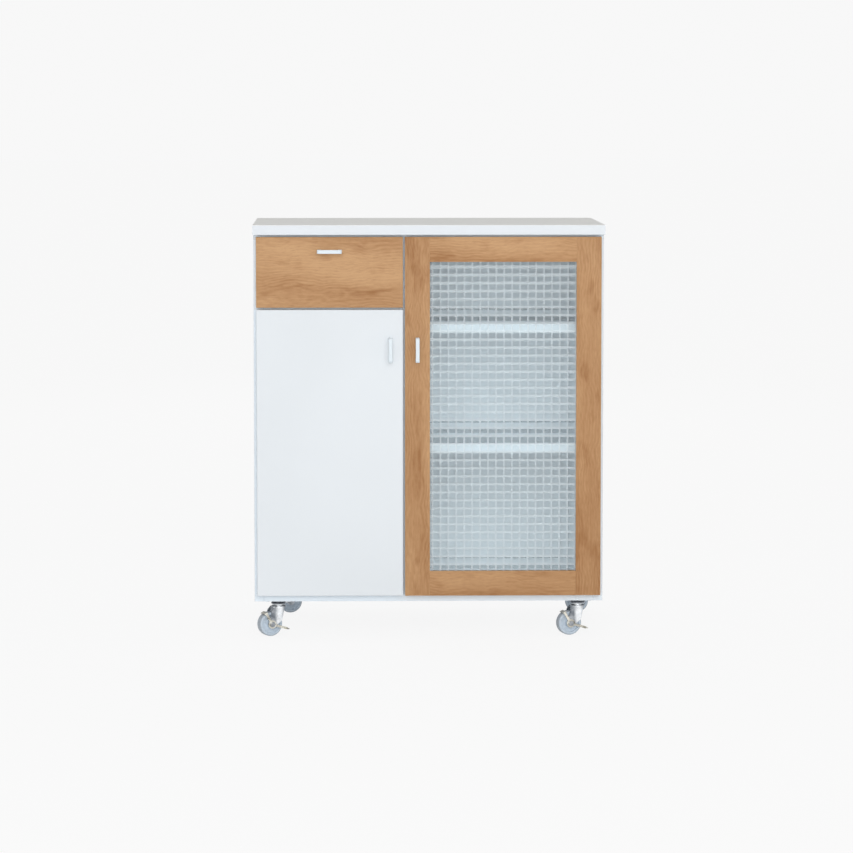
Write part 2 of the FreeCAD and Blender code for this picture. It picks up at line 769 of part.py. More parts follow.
caster_x = half_body - caster_inset
caster_front = y_body + caster_inset
caster_rear = y_back - rear_inset
caster_plates = []
fork_shape = fork_solid()
wheel_shape = wheel_solid()
lever_shape = lever_solid()
plain_axle = axle_solid(fork_half)
lever_axle = axle_solid(fork_half + lever_thick + 2 * lever_gap)
for corner, x, y, heading, braked in (
    ("front_left", -caster_x, caster_front, front_left_heading, True),
    ("front_right", caster_x, caster_front, front_right_heading, True),
    ("rear_left", -caster_x, caster_rear, rear_left_heading, False),
    ("rear_right", caster_x, caster_rear, rear_right_heading, False),
):
    here = V(x, y, 0)

    def placed(shape):
        moved = shape.copy()
        moved.rotate(V(0, 0, 0), Z_AXIS, heading)
        moved.translate(here)
        return moved

    save(corner + "_fork", [placed(fork_shape), placed(lever_axle if braked else plain_axle)])
    save(corner + "_wheel", [placed(wheel_shape)])
    if braked:
        save(corner + "_brake_lever", [placed(lever_shape)])
    plate = box(x - plate_long / 2, x + plate_long / 2, y - plate_wide / 2, y + plate_wide / 2,
                z_plate, caster_height)
    plate = plate.makeFillet(plate_corner, running(plate, Z_AXIS))
    cup = rod(V(x, y, z_cup), Z_AXIS, cup_race_radius, cup_race_height)
    for level in (z_cup, z_cup + cup_race_height):
        cup = soften(cup, cup_race_round, level, Z_AXIS)
    plate = plate.fuse([cup, rod(V(x, y, z_cup), Z_AXIS, neck_radius, z_plate - z_cup)])
    plate = plate.cut(rod(V(x, y, 0), Z_AXIS, kingpin_radius + glue_gap, caster_height))
    fixings = []
    for a in (-plate_hole_x, plate_hole_x):
        for b in (-plate_hole_y, plate_hole_y):
            seat = V(x + a, y + b, z_plate)
            screws["caster"].append(screw(seat, Z_AXIS, plate_thick + screw_bite))
            fixings.append(screw_hole(seat, Z_AXIS, plate_thick + screw_bite))
    holes.extend(fixings)
    caster_plates.append(one(drill(plate, fixings)))
    under = z_crown - crown_thick - run_fit
    pin = rod(V(x, y, under - kingpin_head_thick), Z_AXIS, kingpin_head, kingpin_head_thick)
    pin = pin.fuse(rod(V(x, y, under), Z_AXIS, kingpin_radius, caster_height - under))
    caster_plates.append(one(pin))
save("caster_plates", caster_plates)
save("caster_screws", screws["caster"])

# Body panels, drilled for everything that is let into them
rebates = box(-x_in - back_rebate, x_in + back_rebate, y_inside, y_back, z_body, z_under)
top = box(-top_width / 2, top_width / 2, y_top, y_back, z_under, z_top)
top = soften(top, top_round, z_top, Z_AXIS)
save("counter_top", [one(drill(top, holes))])
for name, x in (("left_side_panel", -half_body), ("right_side_panel", x_in)):
    side = box(x, x + panel, y_body, y_back, z_body, z_under)
    side = soften(side, edge_round, y_body, Y_AXIS).cut(rebates)
    save(name, [one(drill(side, holes))])
floor = box(-x_in, x_in, y_body, y_inside, z_body, z_floor)
save("bottom_panel", [one(drill(floor, holes))])
stretcher = box(-x_in, x_in, y_body, y_body + stretcher_depth, z_under - rail_thick, z_under)
save("front_stretcher", [one(drill(stretcher, holes))])
divider = box(x_mid_l, x_mid_r, y_body, y_inside, z_floor, z_under).cut(stretcher)
save("centre_divider", [one(drill(divider, holes))])
rail = box(-x_in, x_mid_l, y_body, y_body + rail_depth, z_rail, z_rail_top)
save("drawer_rail", [one(drill(rail, holes))])
half_back = x_in + back_rebate - back_play
save("back_panel", [box(-half_back, half_back, y_inside, y_back, z_body, z_under)])
save("panel_dowels", dowels)
save("shelf_pins", pins)
save("fitting_screws", screws["fitting"])
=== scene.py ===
# %% [markdown]
# # A kitchen counter on casters
# The counter is a white cabinet with a wooden drawer front, a plain white door and a tall wood-framed
# door with a pane of small-square pressed glass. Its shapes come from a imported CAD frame, so this lesson
# is about looks. The frame is loaded first, then each step dresses one finish or adds one piece, and the
# studio comes last.

import json
import math

import bpy
import numpy as np
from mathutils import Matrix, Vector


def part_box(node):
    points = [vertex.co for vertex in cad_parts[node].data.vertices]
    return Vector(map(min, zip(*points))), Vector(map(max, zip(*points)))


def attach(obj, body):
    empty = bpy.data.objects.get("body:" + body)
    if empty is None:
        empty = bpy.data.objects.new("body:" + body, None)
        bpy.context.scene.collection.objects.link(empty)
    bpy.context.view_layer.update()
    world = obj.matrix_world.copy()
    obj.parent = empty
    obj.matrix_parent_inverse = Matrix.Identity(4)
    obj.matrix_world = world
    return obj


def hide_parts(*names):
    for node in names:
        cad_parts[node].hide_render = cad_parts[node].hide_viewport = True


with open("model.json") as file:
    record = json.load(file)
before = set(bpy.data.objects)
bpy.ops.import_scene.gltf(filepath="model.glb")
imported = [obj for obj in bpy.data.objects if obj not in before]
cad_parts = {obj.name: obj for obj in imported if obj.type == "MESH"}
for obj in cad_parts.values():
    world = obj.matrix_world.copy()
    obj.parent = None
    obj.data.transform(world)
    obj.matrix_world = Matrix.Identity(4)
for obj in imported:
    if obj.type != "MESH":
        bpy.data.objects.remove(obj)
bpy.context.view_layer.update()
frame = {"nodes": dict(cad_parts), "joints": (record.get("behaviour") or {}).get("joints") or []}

# %% [markdown]
# ## Wiring shader nodes
# A finish is a small graph of shader nodes. Each graph could be drawn by hand in the shader editor, but
# the same few moves come back in all of them. So they are helpers here: add a node, do arithmetic, fade
# one value with another, mix two colours. Noise could be used as it comes, but its values crowd round the
# middle, so most fades start and end where nearly all of them lie.

# %% Helpers that add nodes
def wire(tree, socket, value):
    """Link a socket to a node's output, or set it to a plain value."""
    if isinstance(value, bpy.types.NodeSocket):
        tree.links.new(value, socket)
    else:
        socket.default_value = value


def add(tree, kind, inputs=(), **settings):
    """Add a shader node with its settings, and wire its inputs by name or number."""
    made = tree.nodes.new("ShaderNode" + kind)
    for name, value in settings.items():
        setattr(made, name, value)
    for key, value in dict(inputs).items():
        wire(tree, made.inputs[key], value)
    return made


print("node types to choose from:", sum(name.startswith("ShaderNode") for name in dir(bpy.types)))

# %% Helpers for values and colours
noise_span = (0.3, 0.7)


def calc(tree, operation, *values):
    """The result of a Math node."""
    return add(tree, "Math", enumerate(values), operation=operation).outputs[0]


def vector(tree, operation, *values):
    """The vector result of a Vector Math node."""
    return add(tree, "VectorMath", enumerate(values), operation=operation).outputs["Vector"]


def fade(tree, value, start, end, low=0.0, high=1.0):
    """A value that runs from low to high while another runs from start to end."""
    levels = {"Value": value, "From Min": start, "From Max": end, "To Min": low, "To Max": high}
    return add(tree, "MapRange", levels).outputs["Result"]


def mixed(tree, share, first, second):
    """A share of the second colour laid over the first."""
    return add(tree, "Mix", {0: share, 6: first, 7: second}, data_type="RGBA").outputs[2]


def noise(tree, place, scale, detail=2.0):
    """Soft random values between 0 and 1, finer as the scale grows."""
    return add(tree, "TexNoise", {"Vector": place, "Scale": scale, "Detail": detail}).outputs["Fac"]


print("nearly all noise lies between", *noise_span)

# %% [markdown]
# ## Colours
# A colour picker shows colours as they look on a screen, but shaders count light. The two differ by the
# sRGB curve. Colours could be written in linear values, but nobody can read those, so they are written as
# they look, from 0 to 255, and turned into linear light.

# %% Helper for screen colours
def shade(red, green, blue):
    """A screen colour in linear light: a straight line near black, and a power of 2.4 above it."""
    screen = np.array((red, green, blue)) / 255
    linear = np.where(screen <= 0.04045, screen / 12.92, ((screen + 0.055) / 1.055) ** 2.4)
    return (*linear.tolist(), 1.0)


print("a mid grey of 188 is", round(shade(188, 188, 188)[0], 3), "in linear light")

# %% [markdown]
# ## Groups and materials
# An effect that several finishes share is a node group: a sealed box with named sockets, built once and
# placed in each material with its own values. A material here always starts the same way, with a
# Principled shader and the Object coordinates, which stay put on the piece when it moves.

# %% Helpers for groups
def start_group(name, inputs, outputs):
    """An empty node group with named sockets; returns its tree, its inputs and its outputs."""
    tree = bpy.data.node_groups.new(name, "ShaderNodeTree")
    for label, kind in inputs.items():
        tree.interface.new_socket(label, in_out="INPUT", socket_type="NodeSocket" + kind)
    for label, kind in outputs.items():
        tree.interface.new_socket(label, in_out="OUTPUT", socket_type="NodeSocket" + kind)
    return tree, tree.nodes.new("NodeGroupInput").outputs, tree.nodes.new("NodeGroupOutput").inputs


def placed(tree, group, **inputs):
    """Place a group in a tree, wire its inputs and return its outputs."""
    made = add(tree, "Group", node_tree=group)
    for label, value in inputs.items():
        wire(tree, made.inputs[label], value)
    return made.outputs


print("node groups so far:", len(bpy.data.node_groups))

# %% Helpers for materials
def start_material(name):
    """A new material; returns it with its tree, its Principled shader and the Object coordinates."""
    material = bpy.data.materials.new(name)
    material.use_nodes = True
    tree = material.node_tree
    return material, tree, tree.nodes["Principled BSDF"], add(tree, "TexCoord").outputs["Object"]


def preset(shader, values):
    """Set the shader's sockets that are the same all over the surface."""
    for label, value in values.items():
        shader.inputs[label].default_value = value


def bump(tree, shader, height, strength, depth):
    """Let a height pattern, this deep in metres, tilt the shader's normal."""
    made = add(tree, "Bump", {"Strength": strength, "Distance": depth, "Height": height})
    wire(tree, shader.inputs["Normal"], made.outputs["Normal"])


def dress(material, *names):
    """Give one material to CAD nodes."""
    for name in names:
        slots = frame["nodes"][name].data.materials
        slots.clear()
        slots.append(material)


print("CAD nodes to dress or replace:", len(frame["nodes"]))

# %% [markdown]
# ## Where the edges are
# Boards are worn along their edges, and their edge bands are glued on there. A renderer can find edges by
# itself, but slowly and only in some engines. A board is a box, so its distance to the nearest edge is
# simple arithmetic: measure the depth below the nearest face in each of the three directions, and the
# middle one of the three depths is the way to the edge.

# %% Group: distance to the edge of a board
rim_group, given, result = start_group(
    "edge_distance",
    {"Place": "Vector", "Low": "Vector", "High": "Vector"},
    {"Distance": "Float"},
)
below_low = vector(rim_group, "SUBTRACT", given["Place"], given["Low"])
below_high = vector(rim_group, "SUBTRACT", given["High"], given["Place"])
depths = add(rim_group, "SeparateXYZ", {0: vector(rim_group, "MINIMUM", below_low, below_high)}).outputs
pairs = [calc(rim_group, "MAXIMUM", depths[a], depths[b]) for a, b in ((0, 1), (1, 2), (0, 2))]
lesser = calc(rim_group, "MINIMUM", pairs[0], pairs[1])
wire(rim_group, result["Distance"], calc(rim_group, "MINIMUM", lesser, pairs[2]))


def edge_distance(tree, place, name):
    """Distance in metres from a point of a CAD node to the nearest edge of its box."""
    low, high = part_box(name)
    return placed(tree, rim_group, Place=place, Low=tuple(low), High=tuple(high))["Distance"]


print("edge group has", len(rim_group.nodes), "nodes")

# %% [markdown]
# ## The skin of a coated surface
# Melamine, laminate and powder coat are never quite flat: they have a fine pebble from the press plate or
# the spray, a slow drift in tone, and faint smears that change the gloss. Each finish could have its own
# patterns, but they are the same three noises at three sizes, so every coated finish takes them from this
# one group.

# %% Group: coated skin
drift_scale = 2.6
smear_stretch = (9.0, 9.0, 22.0)

skin_group, given, result = start_group(
    "coated_skin",
    {"Place": "Vector", "Pebbles": "Float"},
    {"Height": "Float", "Drift": "Float", "Smear": "Float"},
)
smear_place = vector(skin_group, "MULTIPLY", given["Place"], smear_stretch)
wire(skin_group, result["Height"], noise(skin_group, given["Place"], given["Pebbles"], detail=3.0))
wire(skin_group, result["Drift"], noise(skin_group, given["Place"], drift_scale, detail=1.0))
wire(skin_group, result["Smear"], noise(skin_group, smear_place, scale=1.0, detail=4.0))
print("skin group has", len(skin_group.nodes), "nodes")

# %% [markdown]
# ## White boards
# The body, the shelves and the plain door are chipboard faced with white melamine, with a thin band glued
# on each edge. The band could be modelled, but it lies flush with the faces, so only its joint shows: a
# fine grey line a millimetre from the edge. The corner itself is worn a little greyer, in patches. The
# bands on the front edges of the body are painted bluer and lighter than the faces: partly a bluer band,
# partly painted light on strips that sit back in shade behind the fronts. Back and bottom are painted a
# brighter white than the other boards, which is painted light for the inside.

# %% White boards: which boards and which whites
inner_nodes = ["back_panel", "bottom_panel"]
banded_nodes = [
    "left_side_panel", "right_side_panel", "bottom_panel",
    "centre_divider", "drawer_rail", "front_stretcher",
]
white_nodes = banded_nodes + [
    "back_panel", "left_shelf", "lower_right_shelf", "upper_right_shelf", "left_door_panel",
]
board_white = shade(229, 234, 238)
board_warm = shade(225, 230, 234)
inner_white_painted_light = shade(247, 250, 252)
inner_warm_painted_light = shade(245, 248, 250)
band_blue_and_painted_light = shade(233, 243, 251)
band_grey = shade(196, 202, 207)
print("white boards:", len(white_nodes), "of them with a bluer band:", len(banded_nodes))

# %% White boards: the bluer front band, painted lighter
band_line = 0.0011
band_width = 0.0005


def front_band(tree, place, name):
    """A mask of 1 on the band at the front of a board, which ends at the band line."""
    depth = calc(tree, "SUBTRACT", add(tree, "SeparateXYZ", {0: place}).outputs["Y"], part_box(name)[0].y)
    return fade(tree, depth, band_line, band_line + band_width, 1.0, 0.0)


print("edge bands are", 1000 * band_line, "mm thick")

# %% White boards: finish
drift_span = (0.35, 0.65)
line_strength = 0.3
wear_width = 0.0008
wear_span = (0.5, 0.7)
wear_strength = 0.5
board_pebbles = 900.0
board_rough = (0.36, 0.5)


def white_board(name):
    """White melamine with a fine pebble, a band line along the edges and worn corners."""
    material, tree, shader, place = start_material("white_board_" + name)
    skin = placed(tree, skin_group, Place=place, Pebbles=board_pebbles)
    rim = edge_distance(tree, place, name)
    # Back and bottom take a brighter white: painted light for the inside of the cabinet.
    tones = (inner_white_painted_light, inner_warm_painted_light) if name in inner_nodes else (board_white, board_warm)
    colour = mixed(tree, fade(tree, skin["Drift"], *drift_span), *tones)
    if name in banded_nodes:
        # The front band is painted bluer and lighter: partly its own bluer colour, partly painted light on a
        # strip in shade.
        colour = mixed(tree, front_band(tree, place, name), colour, band_blue_and_painted_light)
    off_line = calc(tree, "ABSOLUTE", calc(tree, "SUBTRACT", rim, band_line))
    on_line = fade(tree, off_line, band_width / 2, band_width, line_strength, 0.0)
    on_corner = fade(tree, rim, 0.0, wear_width, 1.0, 0.0)
    worn = calc(tree, "MULTIPLY", on_corner, fade(tree, skin["Smear"], *wear_span))
    grey = calc(tree, "MAXIMUM", on_line, calc(tree, "MULTIPLY", worn, wear_strength))
    wire(tree, shader.inputs["Base Color"], mixed(tree, grey, colour, band_grey))
    wire(tree, shader.inputs["Roughness"], fade(tree, skin["Smear"], *noise_span, *board_rough))
    bump(tree, shader, skin["Height"], strength=0.12, depth=0.00015)
    return material


for name in white_nodes:
    dress(white_board(name), name)
print("white boards dressed:", len(white_nodes))

# %% [markdown]
# ## The counter top
# The top has a satin face, off-white and a little warm, that takes knocks and wiping, and a white band
# round its edges. Face and band could be two materials, but one does both: the height of a point says
# whether it lies on the face or on the band. Wiping leaves long streaks in tone and gloss, so their noise
# is stretched along the width.

# %% Counter top
face_grey = shade(234, 234, 231)
face_pale = shade(238, 238, 235)
edge_white = shade(229, 234, 240)
edge_lip = 0.0016
top_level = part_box("counter_top")[1].z
wipe_stretch = (3.0, 60.0, 1.0)
top_pebbles = 700.0
top_rough = (0.42, 0.56)
top_specular = 0.2

material, tree, shader, place = start_material("counter_top_satin")
skin = placed(tree, skin_group, Place=place, Pebbles=top_pebbles)
wipes = noise(tree, vector(tree, "MULTIPLY", place, wipe_stretch), scale=1.0, detail=3.0)
face = mixed(tree, fade(tree, wipes, *drift_span), face_grey, face_pale)
edge = mixed(tree, fade(tree, skin["Drift"], *noise_span), edge_white, board_white)
height = add(tree, "SeparateXYZ", {0: place}).outputs["Z"]
on_face = fade(tree, height, top_level - edge_lip, top_level - edge_lip / 2)
wire(tree, shader.inputs["Base Color"], mixed(tree, on_face, edge, face))
wire(tree, shader.inputs["Roughness"], fade(tree, wipes, *noise_span, *top_rough))
preset(shader, {"Specular IOR Level": top_specular})
bump(tree, shader, skin["Height"], strength=0.15, depth=0.0002)
dress(material, "counter_top")
print("counter top face is at", round(top_level, 3), "m")

# %% [markdown]
# ## Wood
# A board is a slice through a tree, so its figure is a slice through a stack of rings. A picture of wood
# would show its seams at the board's edges, so the figure is worked out in space instead. One group makes
# it for every board. Its streaks come first: fibres, flecks, pores, stains and the drift in colour are
# all noise that is stretched along the grain, and so are the ways in which the rings stray.

# %% Group: wood, streaks along the grain
wood_inputs = {
    "Place": "Vector", "Pith": "Vector", "Tilt": "Float", "Stave": "Float", "Ring": "Float",
    "Figure": "Float", "Ripple": "Float", "Depth": "Float", "Light": "Color", "Dark": "Color",
}
wood_outputs = {"Color": "Color", "Height": "Float", "Gloss": "Float"}
wood_group, given, result = start_group("wood_figure", wood_inputs, wood_outputs)
point = vector(wood_group, "SUBTRACT", given["Place"], given["Pith"])


def streaks_of(along, across, detail=2.0):
    """Noise with this many patches to the metre along the grain and across it."""
    stretched = vector(wood_group, "MULTIPLY", point, (along, across, across))
    return noise(wood_group, stretched, scale=1.0, detail=detail)


fibre = streaks_of(along=16.0, across=420.0, detail=3.0)
fleck = streaks_of(along=70.0, across=240.0)
drift = streaks_of(along=3.0, across=16.0)
stain = streaks_of(along=15.0, across=40.0)
pores = streaks_of(along=70.0, across=1100.0, detail=1.0)
sway = streaks_of(along=9.0, across=8.0)
ripple = streaks_of(along=22.0, across=14.0)
wobble = streaks_of(along=9.0, across=60.0)
patch = streaks_of(along=6.0, across=18.0)
print("wood group has", len(wood_group.nodes), "nodes with its streaks")

# %% [markdown]
# ### The rings
# The pith is the line up the middle of the trunk, and the distance from it says which ring a point is in.
# Late wood is darker, so the tone follows the rings as a soft wave. A near, tilted pith gives the arches
# of a flat-sawn board, a far one the straight lines of a rail. A wide board is glued from staves, so the
# distance folds back at each stave's edge. Where the saw only grazes the rings, small ripples in the
# trunk turn into swirls.

# %% Group: wood, rings round the pith
sway_span = (0.25, 0.75)
sway_reach = 0.014
ripple_span = (0.2, 0.8)
wobble_rings = 0.8
faintest_ring = 0.25

along, across, deep = add(wood_group, "SeparateXYZ", {0: point}).outputs
bend = fade(wood_group, sway, *sway_span, -sway_reach, sway_reach)
beside = calc(wood_group, "ADD", calc(wood_group, "PINGPONG", across, given["Stave"]), bend)
rise = calc(wood_group, "MULTIPLY", fade(wood_group, ripple, *ripple_span, -1.0, 1.0), given["Ripple"])
below = calc(wood_group, "ADD", calc(wood_group, "MULTIPLY_ADD", along, given["Tilt"], deep), rise)
spoke = add(wood_group, "CombineXYZ", {0: beside, 1: below}).outputs["Vector"]
off_pith = add(wood_group, "VectorMath", {0: spoke}, operation="LENGTH").outputs["Value"]
stray = calc(wood_group, "MULTIPLY", wobble, wobble_rings)
rings = calc(wood_group, "ADD", calc(wood_group, "DIVIDE", off_pith, given["Ring"]), stray)
wave = calc(wood_group, "SINE", calc(wood_group, "MULTIPLY", rings, 2 * math.pi))
late = calc(wood_group, "MULTIPLY_ADD", wave, 0.5, 0.5)
late = calc(wood_group, "MULTIPLY", late, fade(wood_group, patch, *noise_span, faintest_ring, 1.0))
print("wood group has", len(wood_group.nodes), "nodes with its rings")

# %% [markdown]
# ### The colour of the wood
# All that darkens wood adds up to one tone: how deep this board is, the rings, the heart beside the pith,
# the streaks and the stains. The tone then mixes a light and a dark colour, and the pores are laid on
# top.

# %% Group: wood, colour
heart_width = 0.05
heart_tone = 0.14
streak_tones = ((drift, 0.25), (fibre, 0.1), (fleck, 0.09))
stain_span = (0.54, 0.74)
stain_tone = 0.4
pore_span = (0.6, 0.72)
pore_tone = 0.3
pore_tint = (0.7, 0.62, 0.55)

heart = fade(wood_group, beside, 0.0, heart_width, heart_tone, 0.0)
board_tone = calc(wood_group, "ADD", given["Depth"], heart)
tone = calc(wood_group, "MULTIPLY_ADD", late, given["Figure"], board_tone)
for streak, reach in streak_tones:
    tone = calc(wood_group, "ADD", tone, fade(wood_group, streak, *noise_span, -reach, reach))
tone = calc(wood_group, "MULTIPLY_ADD", fade(wood_group, stain, *stain_span), stain_tone, tone)
colour = mixed(wood_group, tone, given["Light"], given["Dark"])
in_pore = fade(wood_group, pores, *pore_span)
pore_shade = vector(wood_group, "MULTIPLY", given["Dark"], pore_tint)
pore_share = calc(wood_group, "MULTIPLY", in_pore, pore_tone)
wire(wood_group, result["Color"], mixed(wood_group, pore_share, colour, pore_shade))
print("wood group has", len(wood_group.nodes), "nodes with its colour")

# %% [markdown]
# ### The relief of the wood
# Fibres and late wood stand a little proud and pores are sunk, which gives the height for a bump. The
# gloss follows the drift and the fibres.

# %% Group: wood, relief and gloss
fibre_height = 0.6
pore_height = 0.8
ring_height = 0.2
gloss_share = 0.5

raised = calc(wood_group, "MULTIPLY", fibre, fibre_height)
relief = calc(wood_group, "SUBTRACT", raised, calc(wood_group, "MULTIPLY", in_pore, pore_height))
wire(wood_group, result["Height"], calc(wood_group, "MULTIPLY_ADD", late, ring_height, relief))
fibre_gloss = calc(wood_group, "MULTIPLY", fibre, gloss_share)
wire(wood_group, result["Gloss"], calc(wood_group, "MULTIPLY_ADD", drift, gloss_share, fibre_gloss))
print("wood group is whole with", len(wood_group.nodes), "nodes")

# %% [markdown]
# ## Lacquered alder
# The drawer front and the framed door are alder under a clear satin lacquer. All of them could share one
# material, but then the grain would run on from board to board. Each board is cut from another place in
# the tree, so each gets its own pith and its own direction of grain: along the drawer front and the
# rails, up the stiles. Lacquer is thinner on the corners, so they are rubbed a little paler.

# %% Lacquered alder: finish
alder_light = shade(200, 158, 115)
alder_dark = shade(157, 110, 68)
alder_rubbed = shade(204, 166, 124)
alder_ring = 0.0058
alder_figure = 0.25
rub_span = (0.0003, 0.0016)
rub_strength = 0.6
alder_rough = (0.38, 0.52)
lacquer = {"Specular IOR Level": 0.25, "Coat Weight": 0.06, "Coat Roughness": 0.3}
grain_axes = {"X": "XZY", "Y": "YZX", "Z": "ZXY"}


def grain_place(tree, place, grain):
    """Turn Object coordinates into along, across and through the board, for grain along X, Y or Z."""
    parts = add(tree, "SeparateXYZ", {0: place}).outputs
    ordered = [parts[axis] for axis in grain_axes[grain]]
    return add(tree, "CombineXYZ", enumerate(ordered)).outputs["Vector"]


def alder(name, grain, pith, tilt, depth, ripple=0.0015, stave=1.0):
    """Alder board with satin lacquer, rubbed paler along its edges; more depth is darker wood."""
    material, tree, shader, place = start_material("alder_" + name)
    wood = placed(
        tree, wood_group, Place=grain_place(tree, place, grain), Pith=pith, Tilt=tilt, Stave=stave,
        Ring=alder_ring, Figure=alder_figure, Ripple=ripple, Depth=depth, Light=alder_light, Dark=alder_dark,
    )
    on_edge = fade(tree, edge_distance(tree, place, name), *rub_span, rub_strength, 0.0)
    rubbed = calc(tree, "MULTIPLY", on_edge, wood["Gloss"])
    wire(tree, shader.inputs["Base Color"], mixed(tree, rubbed, wood["Color"], alder_rubbed))
    wire(tree, shader.inputs["Roughness"], fade(tree, wood["Gloss"], *noise_span, *alder_rough))
    preset(shader, lacquer)
    bump(tree, shader, wood["Height"], strength=0.2, depth=0.0002)
    return material


print("rings of alder are", 1000 * alder_ring, "mm wide")

# %% Lacquered alder: each board's place in the tree
boards = {
    "drawer_front": {
        "grain": "X", "pith": (-0.1, 0.742, -0.196), "tilt": 0.03, "depth": 0.14,
        "ripple": 0.004, "stave": 0.06,
    },
    "left_stile": {"grain": "Z", "pith": (0.42, -0.0245, -0.198), "tilt": 0.04, "depth": 0.24},
    "right_stile": {"grain": "Z", "pith": (0.5, 0.42, -0.18), "tilt": 0.02, "depth": 0.55},
    "top_rail": {"grain": "X", "pith": (0.2, 0.80, -0.19), "tilt": 0.02, "depth": 0.24},
    "bottom_rail": {"grain": "X", "pith": (0.1, 0.08, -0.185), "tilt": -0.03, "depth": 0.42},
    "glazing_beads": {"grain": "Z", "pith": (0.1, 0.6, -0.15), "tilt": 0.0, "depth": 0.5},
}
for name, cut in boards.items():
    dress(alder(name, **cut), name)
print("alder boards:", len(boards))

# %% [markdown]
# ## The drawer box and the dowels
# Behind its front the drawer is a plain box of pale, unfinished wood, and beech dowels hold the panels.
# The box shows only when the drawer is out, but there a flat colour would look like card. The wood group
# does these too, with pale colours close to each other, a rough surface and no lacquer.

# %% Bare wood
box_light = shade(218, 198, 168)
box_dark = shade(192, 166, 132)
beech_light = shade(214, 184, 148)
beech_dark = shade(188, 152, 114)
bare_rough = (0.6, 0.78)
box_boards = {
    "drawer_inner_front": ("X", (0.0, 0.7, 0.1)),
    "drawer_back": ("X", (0.2, 0.72, -0.4)),
    "drawer_left_side": ("Y", (0.0, 0.7, 0.0)),
    "drawer_right_side": ("Y", (0.3, 0.74, 0.3)),
    "drawer_bottom": ("Y", (0.1, 0.5, -0.2)),
}
dowel_pith = (0.0, 0.4, 0.3)


def bare_wood(name, grain, pith, light, dark):
    """Unfinished wood, matt and slightly fuzzy."""
    material, tree, shader, place = start_material("bare_" + name)
    wood = placed(
        tree, wood_group, Place=grain_place(tree, place, grain), Pith=pith, Tilt=0.02, Stave=1.0,
        Ring=0.005, Figure=0.3, Ripple=0.001, Depth=0.2, Light=light, Dark=dark,
    )
    wire(tree, shader.inputs["Base Color"], wood["Color"])
    wire(tree, shader.inputs["Roughness"], fade(tree, wood["Gloss"], *noise_span, *bare_rough))
    bump(tree, shader, wood["Height"], strength=0.3, depth=0.0003)
    return material


for name, (grain, pith) in box_boards.items():
    dress(bare_wood(name, grain, pith, box_light, box_dark), name)
dress(bare_wood("panel_dowels", "Z", dowel_pith, beech_light, beech_dark), "panel_dowels")
print("bare boards:", len(box_boards), "and the dowels")

# %% [markdown]
# ## Handles and runners
# The handles are small cast bars under white powder coat, and the drawer runners are folded sheet under
# white epoxy. Both are paint on metal. The metal itself could be built under a layer of paint, but none
# of it shows, so the same coated skin as on the boards is enough, with a coarser orange-peel ripple and
# more gloss on the handles, which fingers keep polished.

# %% Painted metal
handle_white = shade(226, 236, 242)
handle_smear = shade(215, 225, 232)
runner_white = shade(222, 222, 218)
runner_smear = shade(200, 200, 196)
smear_span = (0.4, 0.8)
smear_strength = 0.5
rough_spread = 0.12


def painted(name, colour, smear, pebbles, rough):
    """Paint on metal: a coated skin with its own ripple and gloss, darker and duller where it is smeared."""
    material, tree, shader, place = start_material(name)
    skin = placed(tree, skin_group, Place=place, Pebbles=pebbles)
    smeared = fade(tree, skin["Smear"], *smear_span, 0.0, smear_strength)
    gloss = fade(tree, skin["Smear"], *noise_span, rough, rough + rough_spread)
    wire(tree, shader.inputs["Base Color"], mixed(tree, smeared, colour, smear))
    wire(tree, shader.inputs["Roughness"], gloss)
    bump(tree, shader, skin["Height"], strength=0.15, depth=0.0002)
    return material


handle_nodes = ["drawer_handle", "left_door_handle", "glass_door_handle"]
runner_nodes = ["left_body_runner", "right_body_runner", "left_drawer_runner", "right_drawer_runner"]
dress(painted("handle_powder_coat", handle_white, handle_smear, pebbles=500.0, rough=0.26), *handle_nodes)
dress(painted("runner_epoxy", runner_white, runner_smear, pebbles=700.0, rough=0.34), *runner_nodes)
print("painted nodes:", len(handle_nodes) + len(runner_nodes))

# %% [markdown]
# ## Plated steel
# Hinges, screws and caster forks are steel with a bright zinc plate. A plain mirror would look like
# chrome: zinc shows a cloudy play of light and dark patches and fine scuffs in the pressing direction.
# The patches change colour and gloss, and the scuffs change the gloss and cut a faint relief, so they are
# two noise patterns, one round and one stretched. The forks are painted darker towards their bent edges
# round a bright middle: painted shade and a painted highlight for the curve of the legs. The brake levers
# have a creamy yellow zinc.

# %% Plated steel: painted shade at the bends of a fork
corners = ("front_left", "front_right", "rear_left", "rear_right")
joints = {joint["name"]: joint for joint in frame["joints"]}
fork_middle = 0.002
fork_half = 0.011
shade_start = 0.35


def fork_painted_shade(tree, place, corner):
    """A mask of painted shade that grows from the bright middle of a fork to its bent edges, both ways along
    the wheel's trail.
    """
    swivel = np.array(joints[corner + "_swivel"]["pos_m"])
    trail = (np.array(joints[corner + "_roll"]["pos_m"]) - swivel) * (1, 1, 0)
    trail = trail / np.linalg.norm(trail)
    arm = vector(tree, "SUBTRACT", place, tuple((swivel + trail * fork_middle).tolist()))
    ahead = add(tree, "VectorMath", {0: arm, 1: tuple(trail.tolist())}, operation="DOT_PRODUCT")
    away = calc(tree, "ABSOLUTE", ahead.outputs["Value"])
    return fade(tree, away, shade_start * fork_half, fork_half)


print("casters:", len(corners), "joints:", len(joints))

# %% Plated steel: finish
cloud_scale = 90.0
cloud_span = (0.35, 0.75)
cloud_rough = (0.18, 0.3)
scuff_stretch = (900.0, 900.0, 60.0)
scuff_span = (0.5, 0.75)
scuff_rough = 0.12
painted_shade_share = 0.65
cloud_share = 0.35


